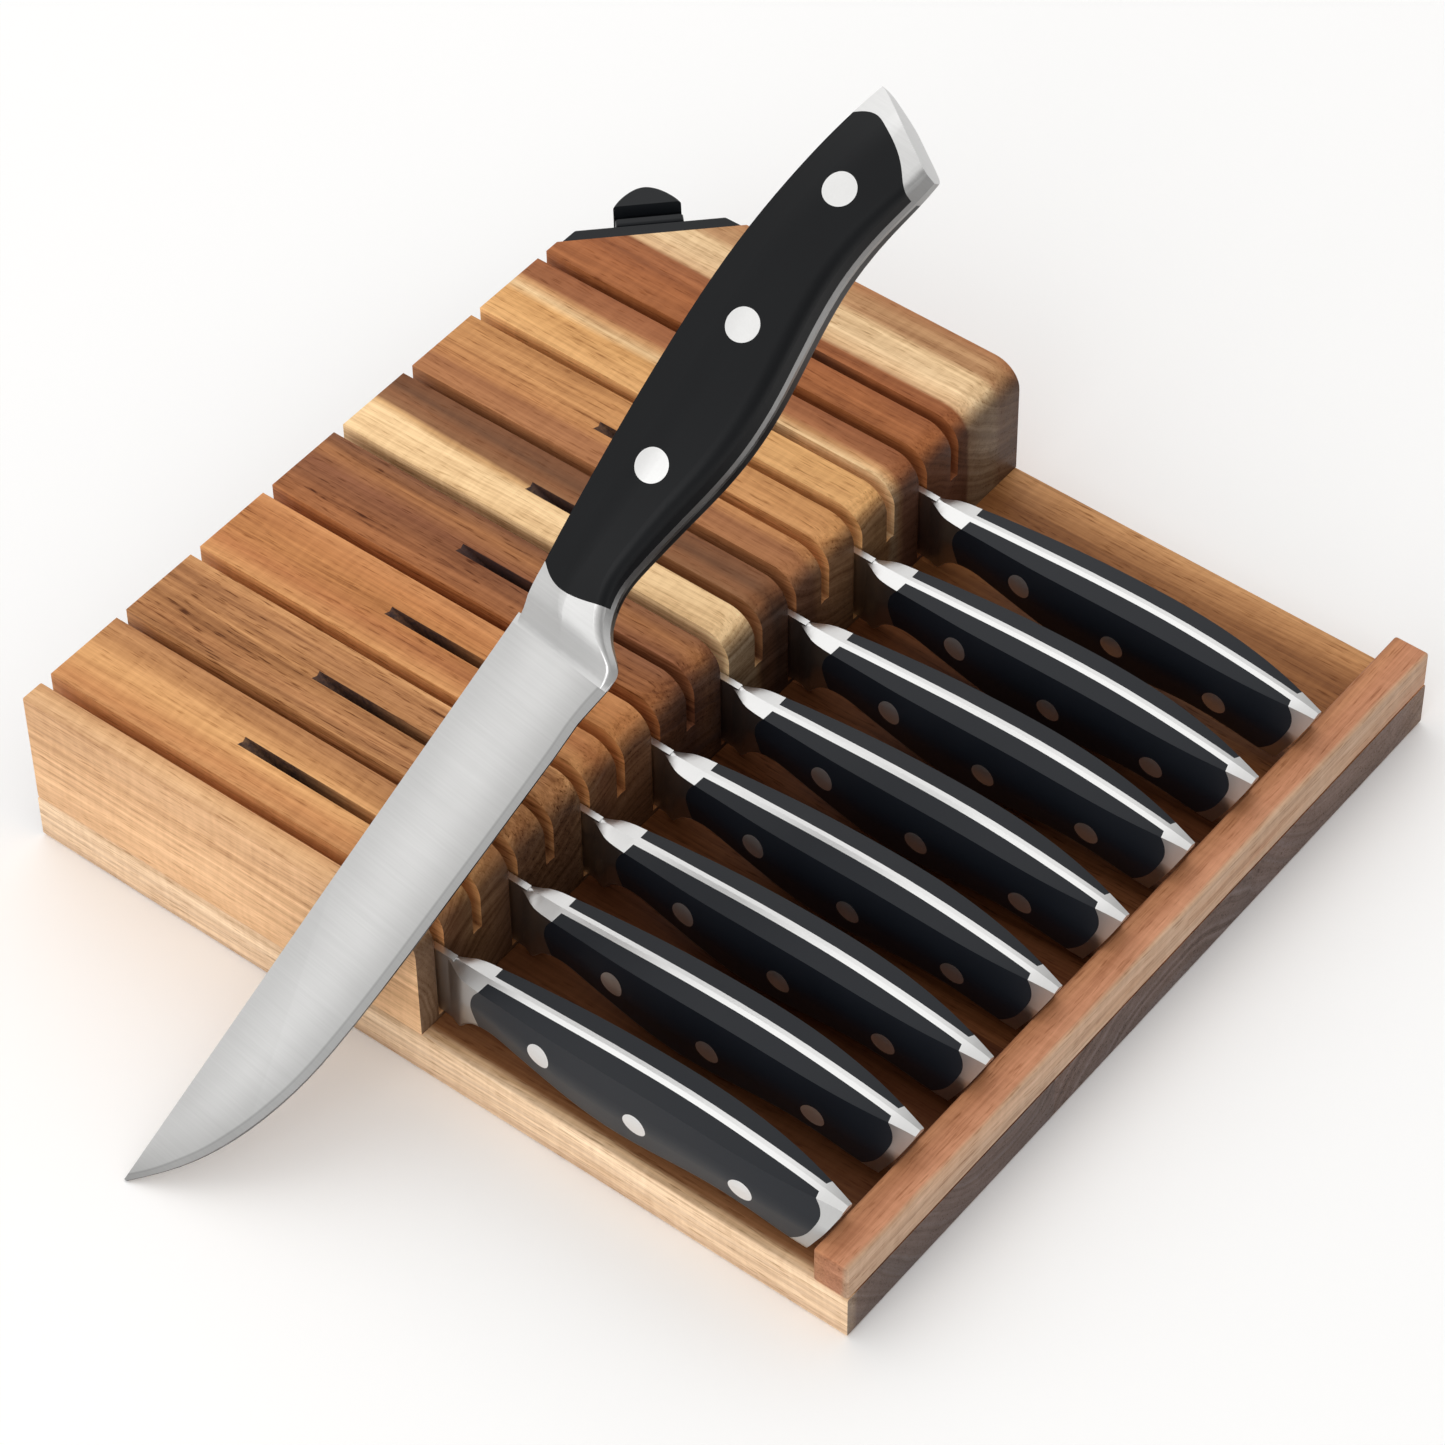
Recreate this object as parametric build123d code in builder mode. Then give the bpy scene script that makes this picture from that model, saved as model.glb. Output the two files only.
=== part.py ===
"""Knife block with steak knives, one leaning knife and a corner sharpener (mm, +Z up)."""
import os
from math import cos, radians, sin
from build123d import *

os.makedirs("parts", exist_ok=True)

# ---------------------------------------------------------------- driving dimensions
WIDTH = 245.0            # block and base, X
LENGTH = 256.0           # base, Y
BASE_T = 14.5            # base board thickness, also the tray floor level
PLANK_EDGES = (-122.5, -40.0, 44.0, 122.5)  # glue lines of the base
BLOCK_TOP = 51.2         # top of the slotted block above the table
BLOCK_FRONT = 1.2        # Y of the block's front face
RIM_TOP = 26.3           # top of the end rim above the table
RIM_T = 10.2             # rim thickness, Y
CORNER = 36.2            # leg of the 45 degree corner cut that carries the sharpener
SLOT_W = 3.5             # long blade slots
SLOT_FLOOR = 15.85       # bottom of the long slots above the table
SLOT_X0 = -113.9         # centre of the first long slot
PITCH = 27.7             # slot to slot
SLOTS = 8
KERF_W = 3.2             # short stopped slots, one in the middle of a stave
KERF_FLOOR = 33.0
KERF_END = 75.9          # Y where the short slots run out at the top
SAW_R = 162.0            # radius of the saw blade that cut the short slots
FRONT_R = 8.0            # rounding of the block's front top edge
EASE = 0.7               # light rounding of the other stave edges
PIN_R = 0.9              # pins through the rim
PIN_X = (-105.7, 0.5, 111.5)

NECK_Y = -2.8            # where the knives' blades meet their bolsters
SPINE_Z = 39.5           # spine of the stored blades above the table
KNIFE_BIG = 1.275        # the leaning knife is the same pattern, this much larger
TANG_T = 2.75            # tang thickness
DIP = (1.2, 1.2, 1.6, 1.8, 1.6, 1.2, 1.4, 1.6)  # how far each handle hangs down in its slot
YAW = -0.45              # and how far all of them turn, both in degrees
BLADE_T = 1.8            # blade thickness at the spine
BLADE_L = 129.5          # blade length, plunge line to tip
RIVET_R = 3.4
LEAN = 37.1              # leaning knife: angle of the blade's plane to the table
SWING = -6.7             # leaning knife: turn in that plane
TIP_AT = (-191.4, 37.2)  # where its tip stands on the table

HALF_W, HALF_L = WIDTH / 2, LENGTH / 2
slot_x = [SLOT_X0 + PITCH * k for k in range(SLOTS)]


def save(part, name):
    part.label = name
    export_step(part, "parts/" + name + ".step")


# ---------------------------------------------------------------- base board
def base_plank(index):
    """The base is three planks glued edge to edge; the last one has the corner cut."""
    left, right = PLANK_EDGES[index], PLANK_EDGES[index + 1]
    with BuildPart() as p:
        with Locations((left, -HALF_L, 0)):
            Box(right - left, LENGTH, BASE_T, align=(Align.MIN, Align.MIN, Align.MIN))
        if index == 2:
            corner = p.edges().filter_by(Axis.Z).group_by(Axis.Y)[-1].sort_by(Axis.X)[-1]
            chamfer(corner, CORNER)
        outer = [e for e in p.faces().sort_by(Axis.Z)[0].edges()
                 if abs(e.center().X) > HALF_W - CORNER or abs(e.center().Y) > HALF_L - 1]
        chamfer(outer, 0.8)
        with Locations(*[(x, -HALF_L + RIM_T / 2, BASE_T - 8) for x in PIN_X]):
            Cylinder(PIN_R, 8, align=(Align.CENTER, Align.CENTER, Align.MIN), mode=Mode.SUBTRACT)
    save(p.part, "base_plank_" + str(index))


for number in range(3):
    base_plank(number)


# ---------------------------------------------------------------- end rim and its pins
def end_rim():
    with BuildPart() as p:
        with Locations((0, -HALF_L + RIM_T / 2, BASE_T)):
            Box(WIDTH, RIM_T, RIM_TOP - BASE_T, align=(Align.CENTER, Align.CENTER, Align.MIN))
        fillet(p.faces().sort_by(Axis.Z)[-1].edges(), 0.7)
        with Locations(*[(x, -HALF_L + RIM_T / 2, BASE_T) for x in PIN_X]):
            Cylinder(PIN_R, RIM_TOP, align=(Align.CENTER, Align.CENTER, Align.MIN), mode=Mode.SUBTRACT)
    save(p.part, "end_rim")


def rim_pins():
    with BuildPart() as p:
        with Locations(*[(x, -HALF_L + RIM_T / 2, BASE_T - 8) for x in PIN_X]):
            Cylinder(PIN_R, RIM_TOP - BASE_T + 7.9, align=(Align.CENTER, Align.CENTER, Align.MIN))
    save(p.part, "rim_pins")


end_rim()
rim_pins()


# ---------------------------------------------------------------- block staves
def stave(index):
    """One stave of the block; each but the last carries the floor of the slot at its right."""
    left = -HALF_W if index == 0 else slot_x[index - 1] + SLOT_W / 2
    right = HALF_W if index == SLOTS else slot_x[index] - SLOT_W / 2
    depth = HALF_L - BLOCK_FRONT
    with BuildPart() as p:
        with Locations((left, BLOCK_FRONT, BASE_T)):
            Box(right - left, depth, BLOCK_TOP - BASE_T, align=(Align.MIN, Align.MIN, Align.MIN))
        if index == SLOTS:
            corner = p.edges().filter_by(Axis.Z).group_by(Axis.Y)[-1].sort_by(Axis.X)[-1]
            chamfer(corner, CORNER)
        top = p.faces().sort_by(Axis.Z)[-1]
        fillet(top.edges().filter_by(Axis.X).sort_by(Axis.Y)[0], FRONT_R)
        crest = p.faces().sort_by(Axis.Z)[-1]
        fillet(crest.edges().filter_by(Axis.Y), EASE)
        if index < SLOTS:
            with Locations((right, BLOCK_FRONT, BASE_T)):
                Box(SLOT_W, depth, SLOT_FLOOR - BASE_T, align=(Align.MIN, Align.MIN, Align.MIN))
        if index > 0:
            x = slot_x[index - 1] + PITCH / 2
            with BuildSketch(Plane.YZ.offset(x - KERF_W / 2)):
                with BuildLine():
                    reach = (SAW_R ** 2 - (SAW_R - (BLOCK_TOP - KERF_FLOOR)) ** 2) ** 0.5
                    low = KERF_END - reach
                    a = Line((BLOCK_FRONT - 1, KERF_FLOOR), (low, KERF_FLOOR))
                    half = 0.5 * reach
                    drop = SAW_R - (SAW_R ** 2 - half ** 2) ** 0.5
                    b = ThreePointArc(a @ 1, (low + half, KERF_FLOOR + drop), (KERF_END, BLOCK_TOP))
                    c = Line(b @ 1, (KERF_END, BLOCK_TOP + 1))
                    d = Line(c @ 1, (BLOCK_FRONT - 1, BLOCK_TOP + 1))
                    Line(d @ 1, a @ 0)
                make_face()
            extrude(amount=KERF_W, mode=Mode.SUBTRACT)
    save(p.part, "stave_" + str(index))


for number in range(SLOTS + 1):
    stave(number)


# ---------------------------------------------------------------- corner sharpener
PLATE_T = 4.4            # mounting plate
PLATE_LOW, PLATE_TOP = 6.0, 51.0
SLOT_IN, SLOT_OUT = 7.3, 10.9   # sharpening slot, measured out from the cut corner
HEAD_HALF, HEAD_SIDE, HEAD_APEX = 9.2, 12.0, 19.3
SLOT_LOW = 26.0
corner_at = Location((HALF_W - CORNER / 2, HALF_L - CORNER / 2, 0), (0, 0, -45))
SCREW_Z = (14.0, 43.0)
SCREW_X = (-15.5, 15.5)


def sharpener_plate():
    """Plate with bevelled ends, screwed flat on the cut corner."""
    with BuildPart() as p:
        with BuildSketch(Plane.XY.offset(PLATE_LOW)):
            Polygon((-24.2, 0), (24.2, 0), (19.7, PLATE_T), (-19.7, PLATE_T), align=None)
        extrude(amount=PLATE_TOP - PLATE_LOW)
        fillet(p.faces().sort_by(Axis.Z)[-1].edges().sort_by(Axis.Y)[-1], 1.0)
        for x in SCREW_X:
            for z in SCREW_Z:
                with Locations(Location((x, PLATE_T, z), (-90, 0, 0))):
                    CounterSinkHole(1.6, 3.0, depth=PLATE_T)
    save(p.part.moved(corner_at), "sharpener_plate")


def head_outline():
    with BuildLine() as line:
        a = Line((-HEAD_HALF, PLATE_T), (-HEAD_HALF, HEAD_SIDE))
        b = Spline(a @ 1, (-5.6, 16.6), (0, HEAD_APEX), (5.6, 16.6), (HEAD_HALF, HEAD_SIDE))
        c = Line(b @ 1, (HEAD_HALF, PLATE_T))
        Line(c @ 1, a @ 0)
    return line


def sharpener_head():
    """Domed housing with a draw-through slot; two holes hold the crossed rods."""
    with BuildPart() as p:
        with BuildSketch(Plane.XY.offset(PLATE_LOW)):
            with BuildLine():
                add(head_outline().line)
            make_face()
        extrude(amount=PLATE_TOP - PLATE_LOW)
        fillet(p.faces().sort_by(Axis.Z)[-1].edges(), 0.9)
        with BuildSketch(Plane.YZ.offset(-HEAD_HALF - 1)):
            Polygon((SLOT_IN, SLOT_LOW), (SLOT_OUT, SLOT_LOW), (SLOT_OUT, PLATE_TOP - 3),
                    (SLOT_OUT + 1.1, PLATE_TOP + 0.1), (SLOT_IN - 0.5, PLATE_TOP + 0.1),
                    (SLOT_IN, PLATE_TOP - 3), align=None)
        extrude(amount=2 * HEAD_HALF + 2, mode=Mode.SUBTRACT)
        for side in (-1, 1):
            with Locations(Location((side * 4.2, rod_y(side), SLOT_LOW - 8), (0, -side * 20, 0))):
                Cylinder(ROD_R, 26, align=(Align.CENTER, Align.CENTER, Align.MIN), mode=Mode.SUBTRACT)
    save(p.part.moved(corner_at), "sharpener_head")


ROD_R = 0.8


def rod_y(side):
    return (SLOT_IN + SLOT_OUT) / 2 + side * 0.85


def sharpener_rods():
    """Two crossed sharpening rods standing in the slot."""
    with BuildPart() as p:
        for side in (-1, 1):
            with Locations(Location((side * 4.2, rod_y(side), SLOT_LOW - 8), (0, -side * 20, 0))):
                Cylinder(ROD_R, 26, align=(Align.CENTER, Align.CENTER, Align.MIN))
    save(p.part.moved(corner_at), "sharpener_rods")


def sharpener_screws():
    with BuildPart() as p:
        for x in SCREW_X:
            for z in SCREW_Z:
                with BuildSketch(Plane(origin=(x, 0, z), x_dir=(1, 0, 0), z_dir=(0, 0, 1))):
                    Polygon((0, 0), (1.5, 0), (1.5, PLATE_T - 1.45), (2.9, PLATE_T - 0.12),
                            (2.9, PLATE_T - 0.05), (0, PLATE_T - 0.05), align=None)
                revolve(axis=Axis((x, 0, z), (0, 1, 0)))
    save(p.part.moved(corner_at), "sharpener_screws")


sharpener_plate()
sharpener_head()
sharpener_rods()
sharpener_screws()


# ---------------------------------------------------------------- knife pattern
# Side view, y towards the tip, z up from the spine line; the plunge line is y = 0.
HANDLE = [  # y, spine z, belly z, half width, share of it that is flat on top
    (1.2, 0.0, -23.9, 0.95, 0.90), (0.0, 0.0, -24.0, 1.2, 0.90), (-1.2, 0.0, -24.05, 1.8, 0.91),
    (-3.0, 0.0, -23.6, 2.8, 0.91), (-4.4, 0.1, -22.0, 3.6, 0.91), (-6.0, 0.1, -19.7, 4.2, 0.91),
    (-8.2, 0.2, -17.5, 4.7, 0.90), (-10.8, 0.3, -16.1, 5.1, 0.88), (-15.0, 0.7, -15.0, 5.7, 0.85),
    (-22.0, 1.4, -15.4, 6.6, 0.81), (-32.0, 2.3, -17.0, 7.5, 0.80), (-45.0, 3.5, -19.1, 8.1, 0.80),
    (-58.0, 4.4, -19.2, 8.3, 0.80), (-72.0, 4.9, -17.2, 8.3, 0.80), (-86.0, 4.6, -15.8, 8.0, 0.79),
    (-98.0, 3.8, -16.9, 7.3, 0.74), (-106.0, 3.1, -18.5, 6.5, 0.66), (-112.0, 2.4, -19.3, 5.6, 0.56),
    (-117.0, 1.6, -19.4, 4.4, 0.47), (-121.0, 0.6, -19.4, 3.2, 0.42)]
EDGE = [(-1.0, -24.0), (1.5, -23.9), (8.9, -22.9), (16.3, -22.9), (53.6, -21.9), (72.4, -21.2),
        (83.7, -20.4), (91.3, -19.5), (98.9, -17.9), (110.5, -13.9), (120.5, -8.2), (BLADE_L, -0.5)]
FRONT_OF_SCALE = [(-12.9, 1.2), (-11.7, -0.5), (-10.3, -2.7), (-9.5, -5.4), (-9.5, -7.6), (-10.2, -11.0),
                  (-12.1, -16.9)]
BACK_OF_SCALE = [(-110.8, 3.6), (-112.4, 1.4), (-113.8, -0.9), (-114.3, -3.4), (-113.5, -6.5), (-111.7, -10.4),
                 (-109.2, -13.9), (-106.8, -16.2), (-104.0, -18.9)]
BUTT = [(-119.4, 1.3), (-119.2, -0.1), (-118.0, -3.5), (-116.3, -7.4), (-113.6, -12.7),
        (-111.3, -17.1), (-109.6, -19.6)]
RIVETS = [(-32.4, -5.8), (-62.3, -7.3), (-93.4, -7.2)]
BIG_RIVETS = [(-38.0, -8.4), (-68.7, -7.4), (-99.2, -7.2)]


def half_section(y, zt, zb, h, flat, k):
    """Rounded half section of the handle, from the middle plane out to +X."""
    tall = zt - zb
    with BuildSketch(Plane(origin=(0, y * k, 0), x_dir=(1, 0, 0), z_dir=(0, -1, 0))) as s:
        Polygon((0, zt * k), (flat * h * k, (zt - 0.04 * tall) * k), (h * k, (zt - 0.44 * tall) * k),
                (0.80 * h * k, (zb + 0.05 * tall) * k), (0, zb * k), align=None)
        outer = vertices().sort_by(Axis.X)[-3:].sort_by(Axis.Y)
        fillet(outer[0], 0.42 * h * k)
        fillet(outer[2], min(0.42, 2.1 * (1 - flat)) * h * k)
        fillet(vertices().sort_by(Axis.X)[-1], 2.0 * h * k)
    return s.sketch


def side_slab(points, far_y, k, wide=30):
    """Everything from a side view curve to far_y, full height, as a slab through X."""
    with BuildPart() as p:
        with BuildSketch(Plane.YZ.offset(-wide)):
            with BuildLine():
                pts = [(y * k, z * k) for y, z in points]
                a = Spline(*pts)
                top = (pts[0][0], 30 * k)
                low = (pts[-1][0], -45 * k)
                b = Line(a @ 1, low)
                c = Line(low, (far_y * k, -45 * k))
                d = Line(c @ 1, (far_y * k, 30 * k))
                e = Line(d @ 1, top)
                Line(top, a @ 0)
            make_face()
        extrude(amount=2 * wide)
    return p.part


def knife_parts(k, rivet_places):
    """Blade with bolster, tang and butt cap; two scales; three rivets."""
    sections = [half_section(y, zt, zb, h, flat, k) for y, zt, zb, h, flat in HANDLE]
    right = loft(sections)
    envelope = right + mirror(right, Plane.YZ)
    envelope = envelope - side_slab(BUTT, -140, k)
    front = envelope - side_slab(FRONT_OF_SCALE, -140, k)
    cap = envelope & side_slab(BACK_OF_SCALE, -140, k)
    with BuildPart() as slab:
        with Locations((0, -60 * k, -10 * k)):
            Box(TANG_T * k, 140 * k, 80 * k)
    grip = envelope - front - cap
    tang = grip & slab.part
    scales = grip - slab.part
    with BuildPart() as blade:
        with BuildSketch(Plane.YZ.offset(-BLADE_T * k / 2)):
            with BuildLine():
                low = [(y * k, z * k) for y, z in EDGE]
                a = Polyline(*low[:5])
                b = Spline(*low[4:], tangents=((1, 0.025), (1.0, 0.95)))
                c = Line(b @ 1, (BLADE_L * k, 0))
                d = Line(c @ 1, (low[0][0], 0))
                Line(d @ 1, a @ 0)
            make_face()
        extrude(amount=BLADE_T * k)
        for side in (-1, 1):
            # the faces taper from the spine to the edge, and towards the tip
            with BuildSketch(Plane.XZ.offset(5 * k)):
                Polygon((side * BLADE_T * k / 2, 0), (side * 0.16 * k, -24.5 * k), (side * 4 * k, -24.5 * k),
                        (side * 4 * k, 0), align=None)
            extrude(amount=-(BLADE_L + 20) * k, mode=Mode.SUBTRACT)
            with BuildSketch(Plane.XY.offset(2 * k)):
                Polygon((side * BLADE_T * k / 2, BLADE_L * 0.45 * k), (side * 0.22 * k, (BLADE_L + 1) * k),
                        (side * 4 * k, (BLADE_L + 1) * k), (side * 4 * k, BLADE_L * 0.45 * k), align=None)
            extrude(amount=-30 * k, mode=Mode.SUBTRACT)
    with BuildPart() as bores:
        with Locations(*[Location((0, y * k, z * k), (0, 90, 0)) for y, z in rivet_places]):
            Cylinder(RIVET_R * k, 40 * k)
    rivets = envelope & bores.part
    metal = (blade.part + front + tang + cap) - bores.part
    scales = scales - bores.part
    both = scales.solids().sort_by(Axis.X)
    return metal, both[0], both[-1], rivets


def save_knife(parts, where, number):
    for part, name in zip(parts, ("blade", "scale_left", "scale_right", "rivets")):
        save(part.moved(where), "knife_" + str(number) + "_" + name)


steak = knife_parts(1.0, RIVETS)
for number in range(SLOTS):
    save_knife(steak, Location((slot_x[number], NECK_Y, SPINE_Z), (DIP[number], 0, YAW)), number + 1)

# the leaning knife: tip on the table, its flat on the block's upper edge
big = knife_parts(KNIFE_BIG, BIG_RIVETS)
slope, swing = radians(LEAN), radians(SWING)
along, across = Vector(cos(slope), 0, sin(slope)), Vector(0, 1, 0)
to_tip = -(along * cos(swing) + across * sin(swing))
to_spine = across * cos(swing) - along * sin(swing)
origin = Vector(TIP_AT[0], TIP_AT[1], 0.25) - to_tip * (BLADE_L * KNIFE_BIG)
lean = Location(Plane(origin=origin, x_dir=to_tip.cross(to_spine), z_dir=to_spine))
save_knife(big, lean, SLOTS + 1)
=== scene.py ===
import math
import bpy
from mathutils import Matrix, Vector


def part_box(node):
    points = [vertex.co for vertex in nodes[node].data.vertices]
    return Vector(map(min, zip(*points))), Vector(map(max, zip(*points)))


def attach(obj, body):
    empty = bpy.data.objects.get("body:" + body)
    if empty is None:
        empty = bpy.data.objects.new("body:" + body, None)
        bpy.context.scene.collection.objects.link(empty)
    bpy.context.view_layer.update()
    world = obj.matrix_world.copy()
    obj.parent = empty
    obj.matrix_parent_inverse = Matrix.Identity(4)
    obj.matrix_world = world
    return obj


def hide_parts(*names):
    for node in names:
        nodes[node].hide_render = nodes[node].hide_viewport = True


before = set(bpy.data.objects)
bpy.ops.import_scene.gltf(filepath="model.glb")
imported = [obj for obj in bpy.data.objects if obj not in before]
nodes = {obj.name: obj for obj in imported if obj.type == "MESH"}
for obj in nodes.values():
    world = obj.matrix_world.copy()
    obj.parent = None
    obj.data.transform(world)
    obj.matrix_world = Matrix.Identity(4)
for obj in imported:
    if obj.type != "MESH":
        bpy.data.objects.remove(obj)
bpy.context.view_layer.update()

# ------------------------------------------------------------------ camera
# A long lens from the handle side and above the near long side of the block.
eye = Vector((-0.70517, -0.55970, 1.01281))
heading, downward, roll = (math.radians(angle) for angle in (-51.331, 47.765, -0.8476))
turn = (Matrix.Rotation(heading, 4, "Z") @ Matrix.Rotation(math.radians(90) - downward, 4, "X")
        @ Matrix.Rotation(roll, 4, "Z"))
camera_data = bpy.data.cameras.new("camera")
camera_data.lens = 131.84
camera_data.sensor_width = 36
camera_data.clip_start, camera_data.clip_end = 0.05, 20
camera = bpy.data.objects.new("camera", camera_data)
camera.matrix_world = Matrix.Translation(eye) @ turn
bpy.context.scene.collection.objects.link(camera)
bpy.context.scene.camera = camera

# ------------------------------------------------------------------ base planks
# Three planks of acacia glued edge to edge, with the grain along the knives. The flat
# board carries everything; one corner is sawn off at 45 degrees for the sharpener.
MM = 0.001


def clear():
    bpy.ops.object.select_all(action="DESELECT")


def only(piece):
    clear()
    piece.select_set(True)
    bpy.context.view_layer.objects.active = piece


def settle(piece):
    """The piece's place goes into its mesh, and its object to the origin."""
    only(piece)
    bpy.ops.object.transform_apply(location=True, rotation=True, scale=True)


def plank(name, low, high):
    """A sawn plank between two corners, in mm."""
    clear()
    middle = [(a + b) / 2 * MM for a, b in zip(low, high)]
    bpy.ops.mesh.primitive_cube_add(size=1, location=middle)
    piece = bpy.context.object
    piece.scale = [(b - a) * MM for a, b in zip(low, high)]
    piece.name = name
    settle(piece)
    return piece


def saw(piece, point, normal):
    """Cuts the piece on a plane, in mm, and keeps the side that the normal points away from."""
    only(piece)
    bpy.ops.object.mode_set(mode="EDIT")
    bpy.ops.mesh.select_all(action="SELECT")
    bpy.ops.mesh.bisect(plane_co=[p * MM for p in point], plane_no=normal, use_fill=True, clear_outer=True)
    bpy.ops.object.mode_set(mode="OBJECT")


def score(piece, point, normal):
    """Lays a ring of edges round the piece on a plane, so that its faces can be worked on."""
    only(piece)
    bpy.ops.object.mode_set(mode="EDIT")
    bpy.ops.mesh.select_all(action="SELECT")
    bpy.ops.mesh.bisect(plane_co=[p * MM for p in point], plane_no=normal)
    bpy.ops.object.mode_set(mode="OBJECT")


def pick_faces(piece, wanted):
    """Selects faces by their middle and normal, in mm."""
    only(piece)
    for part in (piece.data.vertices, piece.data.edges, piece.data.polygons):
        part.foreach_set("select", [False] * len(part))
    for face in piece.data.polygons:
        face.select = bool(wanted(face.center / MM, face.normal))
    bpy.ops.object.mode_set(mode="EDIT")
    bpy.ops.mesh.select_mode(type="FACE")


def pick_edges(piece, wanted):
    """Selects edges by their two ends, in mm."""
    only(piece)
    for part in (piece.data.vertices, piece.data.edges, piece.data.polygons):
        part.foreach_set("select", [False] * len(part))
    bpy.ops.object.mode_set(mode="EDIT")
    bpy.ops.mesh.select_mode(type="EDGE")
    bpy.ops.object.mode_set(mode="OBJECT")
    verts = piece.data.vertices
    for edge in piece.data.edges:
        a, b = (verts[v].co / MM for v in edge.vertices)
        if wanted(a, b):
            edge.select = True
            verts[edge.vertices[0]].select = verts[edge.vertices[1]].select = True
    bpy.ops.object.mode_set(mode="EDIT")


def ease(piece, width, segments=3, angle=35):
    """Sands the sharp edges to a small round and smooths the shading."""
    only(piece)
    soft = piece.modifiers.new("eased edges", "BEVEL")
    soft.width = width * MM
    soft.segments = segments
    soft.limit_method = "ANGLE"
    soft.angle_limit = math.radians(angle)
    bpy.ops.object.modifier_apply(modifier=soft.name)
    bpy.ops.object.shade_smooth_by_angle(angle=math.radians(35))


def tone(red, green, blue):
    """A colour given as 0 to 255 on screen, as the shader wants it."""
    shares = [c / 255 for c in (red, green, blue)]
    return tuple(s / 12.92 if s <= 0.04 else ((s + 0.055) / 1.055) ** 2.4 for s in shares) + (1,)


def join(tree, kind, settings=(), **wires):
    """Adds a node; wires are values or sockets for its inputs, by name or by number as i0, i1."""
    made = tree.nodes.new(kind)
    for key, value in settings:
        setattr(made, key, value)
    for key, value in wires.items():
        socket = made.inputs[int(key[1:])] if key[0] == "i" and key[1:].isdigit() else made.inputs[key]
        if isinstance(value, bpy.types.NodeSocket):
            tree.links.new(value, socket)
        else:
            socket.default_value = value
    return made


def maths(tree, what, a, b=0.0, c=None):
    wires = {"i0": a, "i1": b}
    if c is not None:
        wires["i2"] = c
    return join(tree, "ShaderNodeMath", [("operation", what)], **wires).outputs[0]


def vectors(tree, what, a, b):
    return join(tree, "ShaderNodeVectorMath", [("operation", what)], i0=a, i1=b).outputs[0]


def axes_of(tree, vector):
    return join(tree, "ShaderNodeSeparateXYZ", Vector=vector).outputs


def span(tree, value, low, high, to_low=0.0, to_high=1.0, kind="LINEAR"):
    """Turns low to high into to_low to to_high, and holds the ends beyond them."""
    limits = {"From Min": low, "From Max": high, "To Min": to_low, "To Max": to_high}
    return join(tree, "ShaderNodeMapRange", [("interpolation_type", kind)], Value=value, **limits).outputs[0]


def even_grey(tree, value):
    return join(tree, "ShaderNodeCombineColor", Red=value, Green=value, Blue=value).outputs[0]


def blend_colours(tree, how, amount, a, b):
    made = join(tree, "ShaderNodeMix", [("data_type", "RGBA"), ("blend_type", how)], i0=amount, i6=a, i7=b)
    return made.outputs[2]


def new_group(name, ins, outs):
    group = bpy.data.node_groups.new(name, "ShaderNodeTree")
    for label, kind, value in ins:
        socket = group.interface.new_socket(name=label, in_out="INPUT", socket_type=kind)
        if value is not None:
            socket.default_value = value
    for label, kind in outs:
        group.interface.new_socket(name=label, in_out="OUTPUT", socket_type=kind)
    return group, group.nodes.new("NodeGroupInput").outputs, group.nodes.new("NodeGroupOutput").inputs


# Acacia: growth rings about a pith that lies off the plank, wandering along Y, with fibre
# lines, short dark pores, a slow cloudy figure and a silky ripple across the grain.
grain, grain_in, grain_out = new_group(
    "acacia grain",
    [("Place", "NodeSocketVector", None), ("Facing", "NodeSocketVector", None),
     ("Colour", "NodeSocketColor", None), ("Pith", "NodeSocketVector", None),
     ("Seed", "NodeSocketFloat", 0.0), ("Rings", "NodeSocketFloat", 0.3),
     ("Streaks", "NodeSocketFloat", 0.3), ("Fibre", "NodeSocketFloat", 1.0),
     ("End darkening", "NodeSocketFloat", 0.45), ("End grey", "NodeSocketFloat", 0.1)],
    [("Colour", "NodeSocketColor"), ("Roughness", "NodeSocketFloat"), ("Height", "NodeSocketFloat")])


def stretched(tree, vector, by, **look):
    """Noise that is drawn out along the axes where the scale is small."""
    at = vectors(tree, "MULTIPLY", vector, by)
    return join(tree, "ShaderNodeTexNoise", Vector=at, Scale=1.0, **look).outputs["Fac"]


def ring_noise(per_metre, seed, detail):
    """Noise that changes only with the distance from the pith."""
    at = join(grain, "ShaderNodeCombineXYZ", X=maths(grain, "MULTIPLY", radius, per_metre), Y=seed).outputs[0]
    return join(grain, "ShaderNodeTexNoise", [("noise_dimensions", "2D")], Scale=1.0, Detail=detail,
                Roughness=0.6, Vector=at).outputs["Fac"]


# The log wandered as it grew: every place is shifted a little before the rings are laid.
flow = vectors(grain, "MULTIPLY", grain_in["Place"], (1, 0.13, 1))
wander = join(grain, "ShaderNodeTexNoise", [("noise_dimensions", "4D")], Vector=flow, W=grain_in["Seed"],
              Scale=34, Detail=2.0, Roughness=0.5)
shift = vectors(grain, "SUBTRACT", wander.outputs["Color"], (0.5, 0.5, 0.5))
shift = join(grain, "ShaderNodeVectorMath", [("operation", "SCALE")], i0=shift, Scale=0.014).outputs[0]
bent = vectors(grain, "ADD", grain_in["Place"], shift)
away = vectors(grain, "MULTIPLY", vectors(grain, "SUBTRACT", bent, grain_in["Pith"]), (1, 0, 1))
radius = join(grain, "ShaderNodeVectorMath", [("operation", "LENGTH")], i0=away).outputs["Value"]
rings_fine = ring_noise(560.0, grain_in["Seed"], 4.0)
rings_broad = ring_noise(150.0, maths(grain, "ADD", grain_in["Seed"], 7.3), 2.0)
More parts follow.
